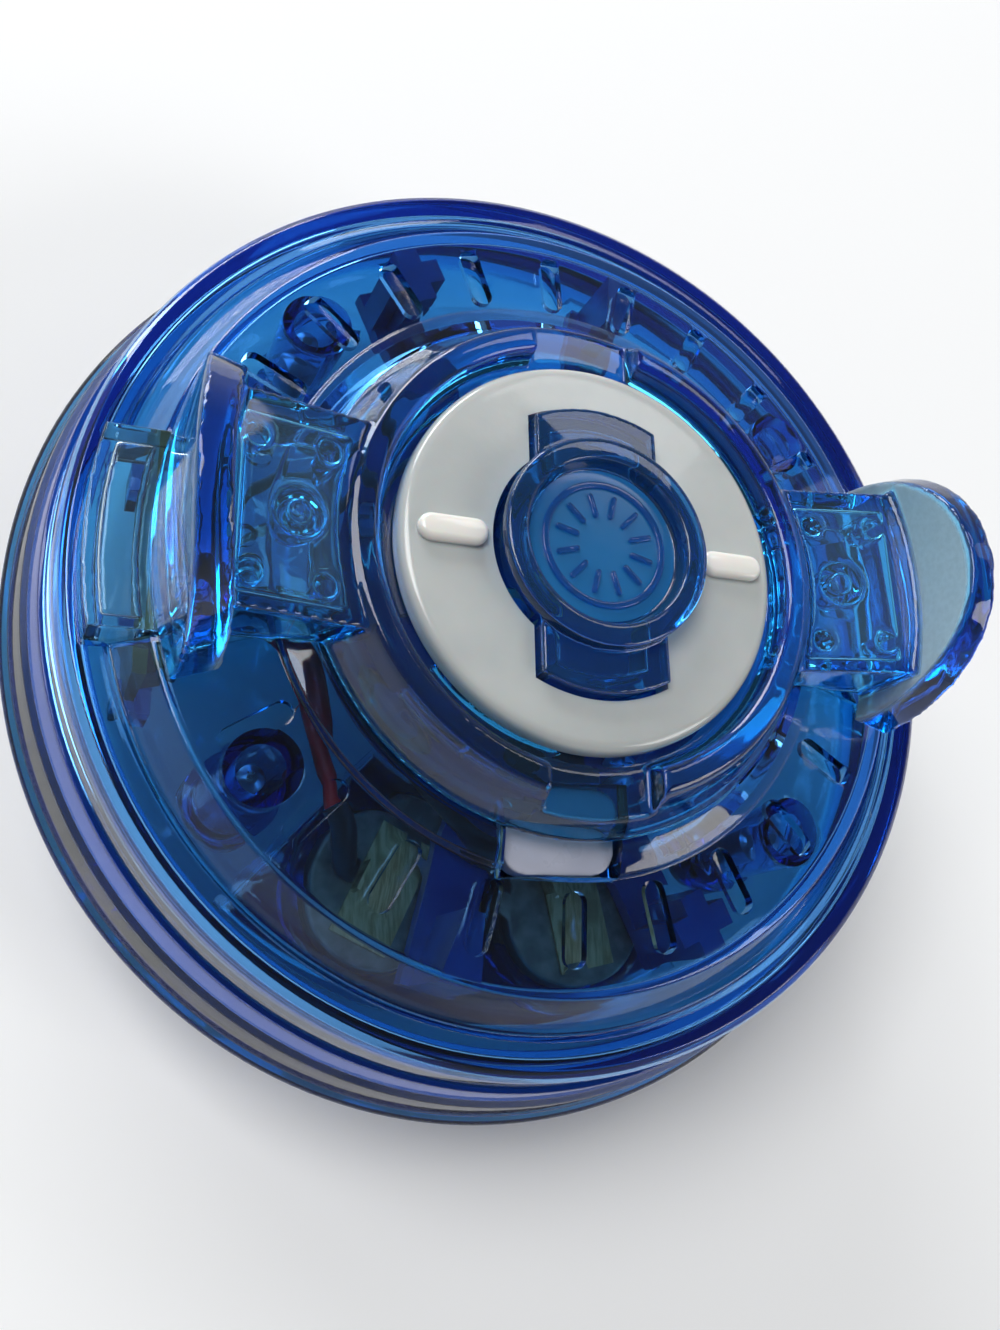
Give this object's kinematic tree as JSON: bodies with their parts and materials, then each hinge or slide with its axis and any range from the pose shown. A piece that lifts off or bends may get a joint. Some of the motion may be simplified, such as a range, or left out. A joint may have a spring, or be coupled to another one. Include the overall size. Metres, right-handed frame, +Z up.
{
  "type": "battling top",
  "caption": "Motorised battling top: clear two-part round body on a driven rubber tip, with a winged ring held to its hub by a turning lock ring and core.",
  "frame": {"origin": "on the spin axis at the foot of the rubber tip", "axes": "+Z up along the spin axis, X through the two wings with the sensor window on -X, -Y towards the power button"},
  "size_m": [0.0802, 0.0802, 0.0418],
  "materials": {
    "clear_blue": "clear deep blue, polished",
    "wing_blue": "clear blue, polished",
    "core_blue": "clear dark blue, polished",
    "dark_blue": "solid dark blue, satin",
    "milk_white": "milky white, polished",
    "button_white": "white with a lilac cast, satin",
    "clear_window": "clear, faintly blue, polished",
    "black_plastic": "black, matte",
    "nylon": "natural nylon, matte",
    "board": "olive board, satin",
    "red_insulation": "red, soft satin",
    "black_insulation": "black, soft satin",
    "grey_insulation": "dark grey, soft satin",
    "steel": "plated steel",
    "cell_case": "nickel-plated cell case",
    "brass": "bright brass",
    "copper": "lacquered copper winding",
    "magnet": "dark ferrite",
    "rubber": "black rubber"
  },
  "bodies": {
    "housing": {"upper_shell": "clear_blue", "lower_shell": "clear_blue", "battery_hatch": "dark_blue", "hatch_screw": "steel", "shell_screws": "steel", "inner_frame": "dark_blue", "frame_screws": "steel", "wing_ring": "wing_blue", "switch_body": "black_plastic", "sensor_window": "clear_window", "circuit_board": "board", "infrared_receiver": "black_plastic", "control_chip": "black_plastic", "button_cells": "cell_case", "cell_bridge": "brass", "positive_terminal": "brass", "negative_terminal": "brass", "contact_strips": "brass", "red_wire": "red_insulation", "wire_sleeve": "black_insulation", "black_wire": "black_insulation", "motor_leads": "grey_insulation", "motor_can": "steel", "motor_end_cap": "nylon", "motor_magnets": "magnet", "lower_bush": "brass", "upper_bush": "brass"},
    "lock": {"lock_ring": "milk_white", "core_cap": "core_blue"},
    "button": {"power_button": "button_white", "switch_plunger": "nylon"},
    "drive": {"drive_shaft": "steel", "drive_gear": "nylon", "thrust_washer": "steel", "tip_holder": "dark_blue", "rubber_tip": "rubber"},
    "rotor": {"motor_shaft": "steel", "motor_armature": "copper", "motor_pinion": "brass"}
  },
  "joints": [
    {"name": "lock_turn", "type": "hinge", "parent": "housing", "child": "lock", "pos_m": [0, 0, 0.0313], "axis": [0, 0, 1], "range_deg": [0, 60]},
    {"name": "button_press", "type": "slide", "parent": "housing", "child": "button", "axis": [0, 0, 1], "range_m": [-0.0008, 0], "stiffness_N_per_m": 200, "springref_m": 0.0004},
    {"name": "drive_spin", "type": "hinge", "parent": "housing", "child": "drive", "pos_m": [0, 0, 0.0109], "axis": [0, 0, 1], "continuous": true},
    {"name": "motor_spin", "type": "hinge", "parent": "housing", "child": "rotor", "pos_m": [0, 0.012, 0.0107], "axis": [0, 0, 1], "continuous": true}
  ],
  "couplings": [
    {"joint": "motor_spin", "follows": "drive_spin", "ratio": -3}
  ]
}
